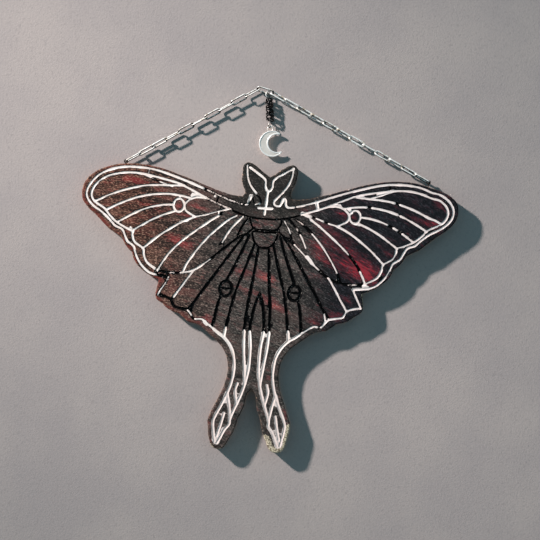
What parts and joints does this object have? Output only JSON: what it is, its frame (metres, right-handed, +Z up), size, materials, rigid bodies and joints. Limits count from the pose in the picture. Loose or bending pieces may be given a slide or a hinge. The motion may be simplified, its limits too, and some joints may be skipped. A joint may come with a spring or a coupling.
{
  "type": "moth wall plaque",
  "caption": "Flat wooden plaque cut and carved as a luna moth, hung from a link chain with a swinging crescent moon charm above its head.",
  "frame": {"origin": "the nail that the chain's top link hangs on", "axes": "+Z up, +X to the viewer's right, +Y into the wall; the carved front faces -Y"},
  "size_m": [0.3073, 0.0127, 0.2996],
  "materials": {
    "painted_wood": "brushed black, brown and dark red paint, carved lines painted cream",
    "silver": "polished wire",
    "blackened_metal": "satin black",
    "pearl_silver": "soft pearly metal"
  },
  "bodies": {
    "hanging": {"moth_board": "painted_wood", "eye_left": "blackened_metal", "eye_right": "blackened_metal", "top_link": "silver", "left_link_01": "silver", "left_link_02": "silver", "left_link_03": "silver", "left_link_04": "silver", "left_link_05": "silver", "left_link_06": "silver", "left_link_07": "silver", "left_link_08": "silver", "left_link_09": "silver", "left_link_10": "silver", "right_link_01": "silver", "right_link_02": "silver", "right_link_03": "silver", "right_link_04": "silver", "right_link_05": "silver", "right_link_06": "silver", "right_link_07": "silver", "right_link_08": "silver", "right_link_09": "silver", "right_link_10": "silver", "right_link_11": "silver", "right_link_12": "silver"},
    "drop": {"drop_ring": "silver", "rope_chain": "blackened_metal"},
    "charm": {"charm_ring": "silver", "moon_charm": "pearl_silver"}
  },
  "joints": [
    {"name": "drop_swing", "type": "hinge", "parent": "hanging", "child": "drop", "pos_m": [0, 0.0008, -0.00137], "axis": [0, 1, 0], "range_deg": [-25, 25]},
    {"name": "charm_swing", "type": "hinge", "parent": "drop", "child": "charm", "pos_m": [0.001, 0.0008, -0.0246], "axis": [0, 1, 0], "range_deg": [-25, 25]}
  ]
}
